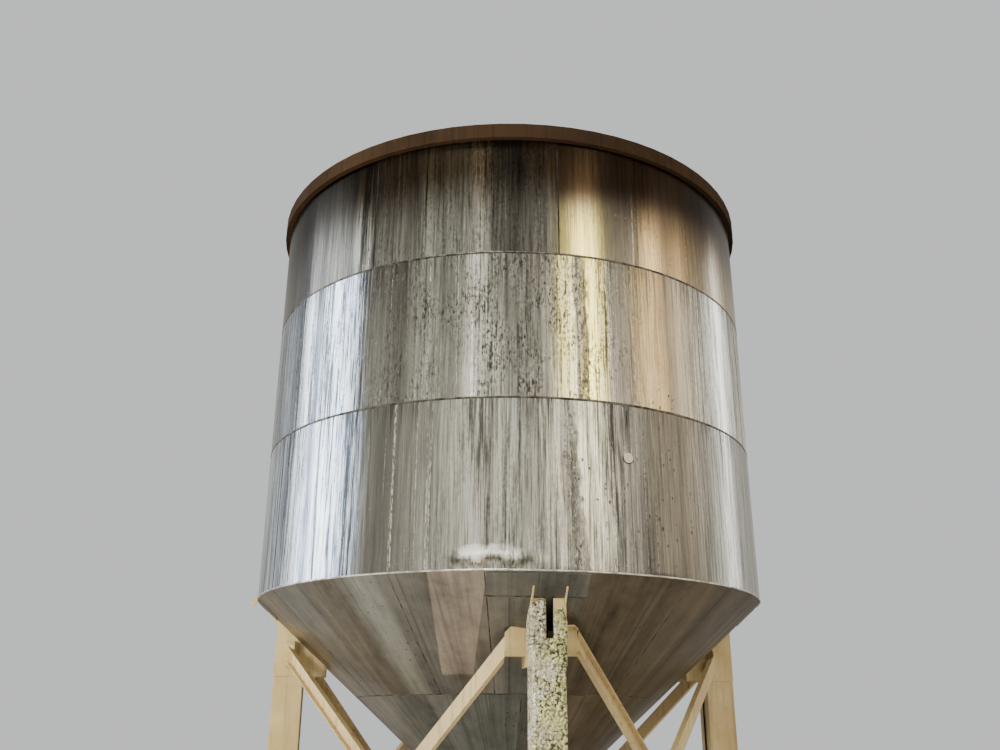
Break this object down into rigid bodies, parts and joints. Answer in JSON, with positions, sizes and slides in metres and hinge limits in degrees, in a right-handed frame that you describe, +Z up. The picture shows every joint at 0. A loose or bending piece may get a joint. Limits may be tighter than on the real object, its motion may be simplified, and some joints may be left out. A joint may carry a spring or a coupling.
{
  "type": "vertical cone-bottomed storage tank on braced legs",
  "caption": "Round stainless steel tank with a low cone roof and a steep cone bottom, carried on painted double-channel legs with gussets, crossed braces and base plates.",
  "frame": {"origin": "on the ground under the tank's axis, level with the undersides of the base plates", "axes": "+Z up along the tank's axis, front leg at -Y, right leg at +X"},
  "size_m": [4.5966, 4.5966, 6.84],
  "materials": {
    "shell_steel": "dull rolled stainless plate, streaked and spotted by spills",
    "cone_steel": "dirty brown-grey stainless plate with radial streaks",
    "leg_paint": "cream paint, chipped, with a thick crust on the front leg",
    "ring_paint": "brown paint, dull and stained"
  },
  "bodies": {
    "root": {"leg_front_base": "leg_paint", "leg_front": "leg_paint", "leg_front_gusset_left": "leg_paint", "leg_front_gusset_right": "leg_paint", "brace_front_to_right": "leg_paint", "brace_right_to_front": "leg_paint", "cone_pad_front": "cone_steel", "leg_right_base": "leg_paint", "leg_right": "leg_paint", "leg_right_gusset_left": "leg_paint", "leg_right_gusset_right": "leg_paint", "brace_right_to_back": "leg_paint", "brace_back_to_right": "leg_paint", "cone_pad_right": "cone_steel", "leg_back_base": "leg_paint", "leg_back": "leg_paint", "leg_back_gusset_left": "leg_paint", "leg_back_gusset_right": "leg_paint", "brace_back_to_left": "leg_paint", "brace_left_to_back": "leg_paint", "cone_pad_back": "cone_steel", "leg_left_base": "leg_paint", "leg_left": "leg_paint", "leg_left_gusset_left": "leg_paint", "leg_left_gusset_right": "leg_paint", "brace_left_to_front": "leg_paint", "brace_front_to_left": "leg_paint", "cone_pad_left": "cone_steel", "outlet_neck": "cone_steel", "outlet_flange": "cone_steel", "cone_lower": "cone_steel", "cone_upper": "cone_steel", "knee_bead": "shell_steel", "shell_lower": "shell_steel", "shell_middle": "shell_steel", "shell_upper": "shell_steel", "roof_cone": "shell_steel", "manway_neck": "shell_steel", "manway_lid": "shell_steel", "roof_vent": "shell_steel", "shell_disc": "shell_steel", "top_stiffener_ring": "ring_paint", "pipe_bracket": "leg_paint"}
  },
  "joints": []
}
